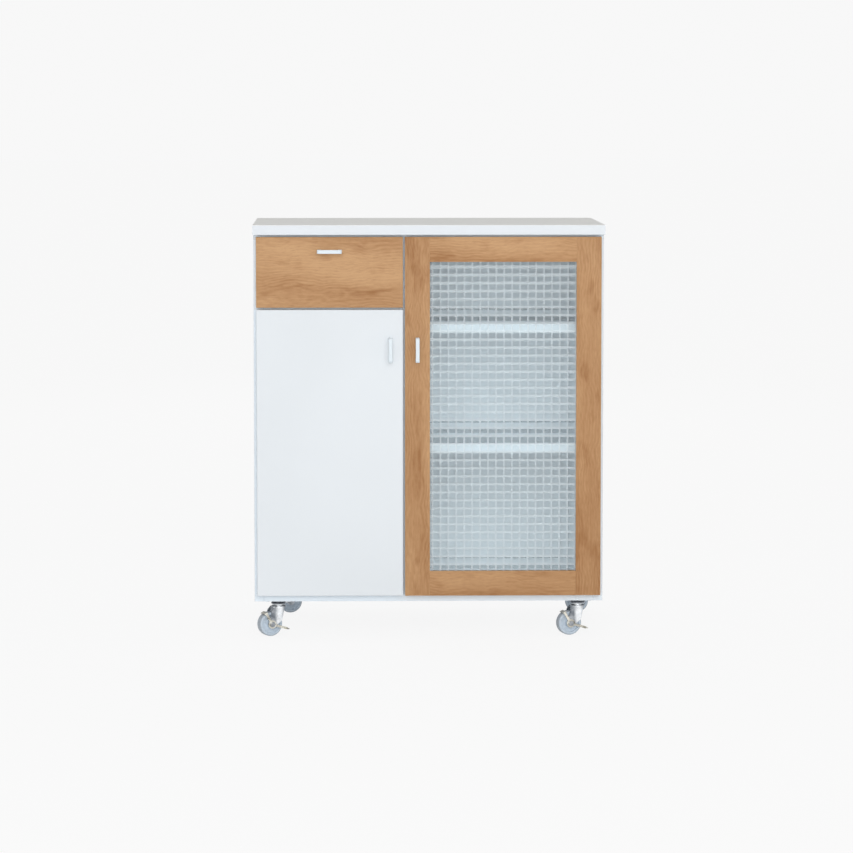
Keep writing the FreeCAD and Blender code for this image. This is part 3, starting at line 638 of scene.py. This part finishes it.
def plated(name, bright, dull, corner=None):
    """Zinc plate: cloudy patches, scuffs in the pressing direction, and on a fork painted shade at the bends
    round a bright middle.
    """
    material, tree, shader, place = start_material(name)
    clouds = noise(tree, place, cloud_scale, detail=3.0)
    scuffs = noise(tree, vector(tree, "MULTIPLY", place, scuff_stretch), scale=1.0, detail=3.0)
    dullness_and_shade = fade(tree, clouds, *cloud_span)
    if corner:
        # Painted shade: the fork darkens towards its bent edges round a bright middle, as a curved leg would
        # shade.
        bend = calc(tree, "MULTIPLY", fork_painted_shade(tree, place, corner), painted_shade_share)
        dullness_and_shade = calc(tree, "MULTIPLY_ADD", dullness_and_shade, cloud_share, bend)
    cloudy = fade(tree, clouds, *noise_span, *cloud_rough)
    scuffed = fade(tree, scuffs, *scuff_span, 0.0, scuff_rough)
    wire(tree, shader.inputs["Base Color"], mixed(tree, dullness_and_shade, bright, dull))
    wire(tree, shader.inputs["Roughness"], calc(tree, "ADD", cloudy, scuffed))
    preset(shader, {"Metallic": 1.0})
    bump(tree, shader, scuffs, strength=0.08, depth=0.0001)
    return material


print("zinc roughness starts at", cloud_rough[0])

# %% Plated steel: which pieces
zinc_nodes = [
    "hinge_arms", "hinge_plates", "left_hinge_cups", "glass_hinge_cups", "left_hinge_links",
    "glass_hinge_links", "fitting_screws", "caster_screws", "drawer_screws", "left_door_screws",
    "glass_door_screws", "shelf_pins",
]
lever_nodes = ["front_left_brake_lever", "front_right_brake_lever"]
# The fork's bright and dull zinc also carry a painted highlight in the middle and painted shade at the
# edges.
fork_bright_and_sheen = shade(244, 247, 250)
fork_dull_and_shade = shade(98, 104, 112)

dress(plated("zinc_plate", shade(222, 226, 231), shade(170, 174, 180)), *zinc_nodes)
# The caster plates take a darker zinc: painted shade for their place in the shadow under the body.
dress(plated("zinc_plate_painted_shade", shade(136, 140, 146), shade(78, 82, 88)), "caster_plates")
dress(plated("yellow_zinc_plate", shade(222, 219, 208), shade(100, 97, 88)), *lever_nodes)
for corner in corners:
    dress(plated(corner + "_fork_zinc_painted_shade", fork_bright_and_sheen, fork_dull_and_shade, corner), corner + "_fork")
print("plated nodes:", len(zinc_nodes) + 1 + len(lever_nodes) + len(corners))

# %% [markdown]
# ## Wheels and rollers
# The caster wheels are a soft blue-grey elastomer, a little darker and dustier on the tread than on the
# faces. The tread could be a second material on its own faces, but dust has no sharp border. It lies
# where the distance from the axle is large, so the axle's line, taken from the joint, gives a soft mask.
# The drawer rollers are plain white nylon.

# %% Wheels
wheel_face = shade(205, 218, 230)
wheel_mark = shade(190, 203, 215)
tread_dust = shade(150, 156, 162)
tread_radius = 0.0245
tread_edge = 0.001
dust_strength = 0.6
mark_span = (0.35, 0.7)
wheel_rough = (0.42, 0.58)


def wheel_rubber(corner):
    """Grey elastomer with a dusty tread round the axle of this caster."""
    material, tree, shader, place = start_material(corner + "_wheel_rubber")
    axle = joints[corner + "_roll"]
    arm = vector(tree, "SUBTRACT", place, tuple(axle["pos_m"]))
    spoke = vector(tree, "CROSS_PRODUCT", arm, tuple(axle["axis"]))
    radius = add(tree, "VectorMath", {0: spoke}, operation="LENGTH").outputs["Value"]
    marks = noise(tree, place, scale=180.0, detail=4.0)
    face = mixed(tree, fade(tree, marks, *mark_span), wheel_face, wheel_mark)
    dusty = fade(tree, radius, tread_radius - tread_edge, tread_radius + tread_edge, 0.0, dust_strength)
    wire(tree, shader.inputs["Base Color"], mixed(tree, dusty, face, tread_dust))
    wire(tree, shader.inputs["Roughness"], fade(tree, marks, *noise_span, *wheel_rough))
    bump(tree, shader, marks, strength=0.1, depth=0.0003)
    return material


for corner in corners:
    dress(wheel_rubber(corner), corner + "_wheel")
print("wheels dressed:", len(corners))

# %% Rollers
nylon_white = shade(226, 224, 216)
nylon_grey = shade(206, 204, 196)
nylon_rough = (0.35, 0.5)

material, tree, shader, place = start_material("roller_nylon")
marks = noise(tree, place, scale=260.0, detail=3.0)
wire(tree, shader.inputs["Base Color"], mixed(tree, marks, nylon_white, nylon_grey))
wire(tree, shader.inputs["Roughness"], fade(tree, marks, *noise_span, *nylon_rough))
bump(tree, shader, marks, strength=0.08, depth=0.0002)
dress(material, "front_rollers", "rear_rollers")
print("rollers dressed with", material.name)

# %% [markdown]
# ## The pressed glass
# Small-square pressed glass is flat on one face and a field of shallow pillows on the other, each a
# little lens about 17 mm wide. A bump map would shine the same but would not bend what lies behind, so
# the pillows are real. The front is one grid. Its lines come first: a few in each cell, with two of them
# at the edges of the valley between the pillows, because the valleys get a finish of their own.

# %% Pressed glass: grid lines
cell_width = 0.017
cell_height = 0.01725
groove_x = 0.1094
groove_z = 0.7990
valley_x = 0.1
valley_z = 0.14
least_gap = 1e-4


def cell_lines(low, high, start, cell, valley):
    """Grid lines from low to high, seven to a cell.

    A line lies at start + cell * (a whole number + a step). Two of the steps are the edges of a valley,
    whose middle is at start. The ends themselves are lines, and none lies too near to them.
    """
    steps = np.array((0.0, valley, 0.2, 0.4, 0.6, 0.8, 1 - valley))
    first = math.floor((low - start) / cell)
    last = math.ceil((high - start) / cell)
    lines = start + cell * (np.arange(first, last + 1)[:, None] + steps[None, :]).ravel()
    inside = (lines > low + least_gap) & (lines < high - least_gap)
    return np.concatenate(([low], lines[inside], [high]))


low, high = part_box("checker_glass")
xs = cell_lines(low.x, high.x, groove_x, cell_width, valley_x)
zs = cell_lines(low.z, high.z, groove_z, cell_height, valley_z)
cells = round((high.x - low.x) / cell_width, 1), round((high.z - low.z) / cell_height, 1)
print("pane cells across and up:", cells, "grid lines:", len(xs), "and", len(zs))

# %% [markdown]
# ### Pillows
# Across a cell the surface falls away from the crown as the square of the distance from its middle, and
# the falls in the two directions add up. Both are worked out for the whole grid at once.

# %% Pressed glass: pillows
pillow = 0.0016


def fall(line, start, cell):
    """How far the glass falls from a pillow's crown: half its height times the squared way to the groove."""
    way = 2 * np.mod((line - start) / cell, 1.0) - 1
    return pillow / 2 * way ** 2


grid_x, grid_z = np.meshgrid(xs, zs)
hollow = fall(grid_x, groove_x, cell_width) + fall(grid_z, groove_z, cell_height)
front = np.stack((grid_x, low.y + hollow, grid_z), axis=-1)
print("the deepest point of the front lies", round(1000 * float(hollow.max()), 2), "mm below the crowns")

# %% [markdown]
# ### A closed pane
# Glass only bends light rightly if its mesh is closed. A Solidify modifier would copy the pillows to the
# back, but the back is flat. So the ring of points round the grid is carried straight back, walls join
# the two rings, and one large face closes the back.

# %% Pressed glass: a closed pane
rows, columns = grid_x.shape
index = np.arange(rows * columns).reshape(rows, columns)
quads = np.stack((index[:-1, :-1], index[:-1, 1:], index[1:, 1:], index[1:, :-1]), axis=-1)
quads = quads.reshape(-1, 4)
ring = np.concatenate((index[0, :-1], index[:-1, -1], index[-1, :0:-1], index[:0:-1, 0]))
back_ring = np.arange(len(ring)) + rows * columns
back = front.reshape(-1, 3)[ring].copy()
back[:, 1] = high.y
walls = np.stack((ring, back_ring, np.roll(back_ring, -1), np.roll(ring, -1)), axis=-1)
points = np.concatenate((front.reshape(-1, 3), back))
faces = quads.tolist() + walls.tolist() + [back_ring[::-1].tolist()]
mesh = bpy.data.meshes.new("pressed_pane")
mesh.from_pydata(points.tolist(), [], faces)
smooth = np.zeros(len(faces), dtype=bool)
smooth[:len(quads)] = True
mesh.polygons.foreach_set("use_smooth", smooth)
print("pane faces:", len(faces), "on the front:", len(quads))

# %% [markdown]
# ### Satin valleys
# The valleys between the pillows stay satin from the roller, and they are painted a pale white: a painted
# reflection of the bright room, which the steep flanks of real pressed glass bend into view. They reach
# about a tenth of a cell to each side of a groove. Which of the two finishes a face gets could be picked by
# hand, but the grid knows it: a strip of faces lies in a valley if its middle does.

# %% Pressed glass: satin valleys
def in_valley(lines, start, cell, valley):
    """Which strips between grid lines lie in a valley: their middle is within this share of a cell of it."""
    phase = np.mod(((lines[1:] + lines[:-1]) / 2 - start) / cell, 1.0)
    return np.minimum(phase, 1 - phase) < valley


satin_columns = in_valley(xs, groove_x, cell_width, valley_x)
satin_rows = in_valley(zs, groove_z, cell_height, valley_z)
satin = satin_columns[None, :] | satin_rows[:, None]
finish = np.zeros(len(faces), dtype=np.int32)
finish[:len(quads)] = satin.ravel()
mesh.polygons.foreach_set("material_index", finish)
print("satin faces:", int(satin.sum()))

# %% [markdown]
# ### The pane on its door
# The CAD frame has a flat pane of the same thickness. The pressed pane stands for it and rides on the
# door, so it swings with the frame.

# %% Pressed glass: on its door
pane = bpy.data.objects.new("pressed_pane", mesh)
bpy.context.scene.collection.objects.link(pane)
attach(pane, "glass_door")
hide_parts("checker_glass")
print("the pane stands for checker_glass")

# %% [markdown]
# ## Glass as a shader
# To the camera the pillows are real glass that bends light, and the satin valleys are glass that scatters
# part of it and is painted a pale white, a painted reflection of the bright room, so they stand out as a
# pale net. For the light that fills the cabinet, bending would only give noise, so shadow rays and the soft
# bounced rays pass straight through both, slightly dimmed.

# %% Glass shaders
glass_tint = shade(245, 250, 252)
valley_painted_reflection = shade(236, 244, 248)
light_tint = shade(246, 252, 254)
glass_body = {"IOR": 1.5, "Specular IOR Level": 0.2}
patch_scale = 40.0
patch_span = (0.3, 0.8)
ripple_scale = 60.0


def glass(name, colour, clear, rough):
    """Glass that lets this share of the light through, with a patchy gloss in this span of roughness."""
    material, tree, shader, place = start_material(name)
    preset(shader, {"Base Color": colour, "Transmission Weight": clear})
    preset(shader, glass_body)
    patches = noise(tree, place, patch_scale, detail=3.0)
    wire(tree, shader.inputs["Roughness"], fade(tree, patches, *patch_span, *rough))
    bump(tree, shader, noise(tree, place, ripple_scale), strength=0.02, depth=0.0002)
    rays = add(tree, "LightPath").outputs
    straight = calc(tree, "MAXIMUM", rays["Is Shadow Ray"], rays["Is Diffuse Ray"])
    passing = add(tree, "BsdfTransparent", {"Color": light_tint}).outputs[0]
    either = add(tree, "MixShader", {0: straight, 1: shader.outputs[0], 2: passing}).outputs[0]
    wire(tree, tree.nodes["Material Output"].inputs["Surface"], either)
    return material


mesh.materials.append(glass("pressed_glass", glass_tint, clear=1.0, rough=(0.0, 0.03)))
# The valleys are painted pale and hold back part of the light: a painted reflection of the room.
mesh.materials.append(glass("satin_glass_painted_reflection", valley_painted_reflection, clear=0.6, rough=(0.35, 0.55)))
print("glass finishes:", len(mesh.materials))

# %% [markdown]
# ## Floor
# The studio is a plain pale floor under a pale sky, and the camera sees both in one tone, so that there
# is no horizon. A very bright lamp could wash the floor out, but it would bleach the cabinet too. So to
# the eye the floor is a dark surface with a plain glow that lights nothing, and the dark surface still
# takes a faint shadow. See-through pieces show the same tone. To the light in the room the floor is pale,
# and glossy pieces show that pale floor with less glow, and so with a deeper shadow under the cabinet.

# %% Floor: the sheet
floor_half = 60.0

ends = floor_half * np.array(((-1, -1, 0), (1, -1, 0), (1, 1, 0), (-1, 1, 0)))
mesh = bpy.data.meshes.new("floor")
mesh.from_pydata(ends.tolist(), [], [(0, 1, 2, 3)])
floor = bpy.data.objects.new("floor", mesh)
bpy.context.scene.collection.objects.link(floor)
print("floor is", 2 * floor_half, "m wide")

# %% Floor: finish
floor_tone = shade(244, 244, 244)
floor_to_eye = shade(79, 79, 79)
floor_glow = 0.885
gloss_glow = 0.45
grain_scale = 30.0
grain_strength = 0.1


def seen_rays(tree):
    """Two masks: rays from the camera or through glass, and rays from a gloss."""
    rays = add(tree, "LightPath").outputs
    return calc(tree, "MAXIMUM", rays["Is Camera Ray"], rays["Is Transmission Ray"]), rays["Is Glossy Ray"]


material, tree, shader, place = start_material("studio_floor")
grains = fade(tree, noise(tree, place, grain_scale), *noise_span, 0.0, grain_strength)
eye, gloss = seen_rays(tree)
tone = mixed(tree, grains, floor_tone, floor_to_eye)
glow = calc(tree, "MULTIPLY_ADD", gloss, gloss_glow, calc(tree, "MULTIPLY", eye, floor_glow))
wire(tree, shader.inputs["Base Color"], mixed(tree, eye, tone, floor_to_eye))
wire(tree, shader.inputs["Emission Strength"], glow)
preset(shader, {"Roughness": 0.9, "Specular IOR Level": 0.0, "Emission Color": (1.0, 1.0, 1.0, 1.0)})
mesh.materials.append(material)
print("floor finish has", len(tree.nodes), "nodes")

# %% [markdown]
# ## Sky
# The sky lights everything softly, more from above than from the sides. A plain white world would be
# simpler, but it would light undersides as much as tops, and metal and gloss need something to show. So
# the sky has two looks: one for the light that it gives, and one for the eye and for gloss, which is as
# pale as the floor at the horizon and darkens towards the ceiling.

# %% Sky
horizon_seen = 0.937
ceiling_seen = 0.35
seen_rise = (0.1, 0.7)
horizon_light = 0.3
ceiling_light = 0.77

world = bpy.data.worlds.new("studio")
bpy.context.scene.world = world
world.use_nodes = True
tree = world.node_tree
up = add(tree, "SeparateXYZ", {0: add(tree, "TexCoord").outputs["Generated"]}).outputs["Z"]
light = fade(tree, up, 0.0, 1.0, horizon_light, ceiling_light)
look = fade(tree, up, *seen_rise, horizon_seen, ceiling_seen)
seen = calc(tree, "MAXIMUM", *seen_rays(tree))
to_eye = calc(tree, "MULTIPLY", seen, look)
to_room = calc(tree, "MULTIPLY", calc(tree, "SUBTRACT", 1.0, seen), light)
background = tree.nodes["Background"].inputs
background["Color"].default_value = (1.0, 1.0, 1.0, 1.0)
wire(tree, background["Strength"], calc(tree, "ADD", to_eye, to_room))
print("sky seen at the horizon:", horizon_seen, "light from above:", ceiling_light)

# %% [markdown]
# ## Lamps
# One lamp could light it all, but the gaps, the inside and the back would stay dark. So a large one
# stands in front, as a window would, and shines in the pillows of the glass. A smaller one behind the
# camera reaches into the gaps and the glazed side. A third lights the back, in a narrow beam that makes
# no bright patch on the floor. The two smaller ones are kept out of reflections.

# %% Helper for lamps
def add_lamp(name, power, size, place, lean, shines=False, beam=math.pi):
    """A lamp that leans down and faces the cabinet; gloss and glass show it only if it shines."""
    lamp = bpy.data.lights.new(name, "AREA")
    lamp.shape = "RECTANGLE"
    lamp.size, lamp.size_y = size
    lamp.energy = power
    lamp.spread = beam
    holder = bpy.data.objects.new(name, lamp)
    bpy.context.scene.collection.objects.link(holder)
    holder.location = place
    holder.rotation_euler = (lean, 0.0, math.atan2(place[0], -place[1]))
    holder.visible_camera = False
    holder.visible_glossy = shines
    holder.visible_transmission = shines
    print(name, "of", size, "m stands", round(math.hypot(*place[:2]), 1), "m away")


# %% Lamps
window_size = (6.0, 3.0)
window_lean = math.radians(72)
fill_size = (2.0, 1.2)
front_lean = math.radians(87)
back_lean = math.radians(82)
back_beam = math.radians(60)

add_lamp("window", power=159.0, size=window_size, place=(0.45, -7.0, 2.8), lean=window_lean, shines=True)
add_lamp("front_fill", power=132.0, size=fill_size, place=(-0.2, -9.0, 1.0), lean=front_lean)
add_lamp("back_fill", power=14.0, size=fill_size, place=(0.0, 9.0, 1.7), lean=back_lean, beam=back_beam)

# %% [markdown]
# ## Camera
# The picture was taken from about eight metres away with a long lens, a little to the left of the middle
# and a little above the top. A wide lens from nearby could frame the cabinet too, but it would spread the
# upright edges, and a long one keeps them nearly parallel. The place and angles were fitted to the
# corners of the cabinet.

# %% Camera
frame_pixels = 853
focal_pixels = 3606.6
camera_place = (-0.190, -7.871, 1.155)
camera_yaw = 0.0241
camera_pitch = 0.0907

view = bpy.data.cameras.new("camera")
view.sensor_width = 36.0
view.lens = focal_pixels / frame_pixels * view.sensor_width
view.clip_end = 4 * floor_half
camera = bpy.data.objects.new("camera", view)
bpy.context.scene.collection.objects.link(camera)
camera.location = camera_place
camera.rotation_euler = (math.pi / 2 - camera_pitch, 0.0, -camera_yaw)
bpy.context.scene.camera = camera
bpy.context.scene.view_settings.view_transform = "Standard"
print("lens:", round(view.lens, 1), "mm")

# %% [markdown]
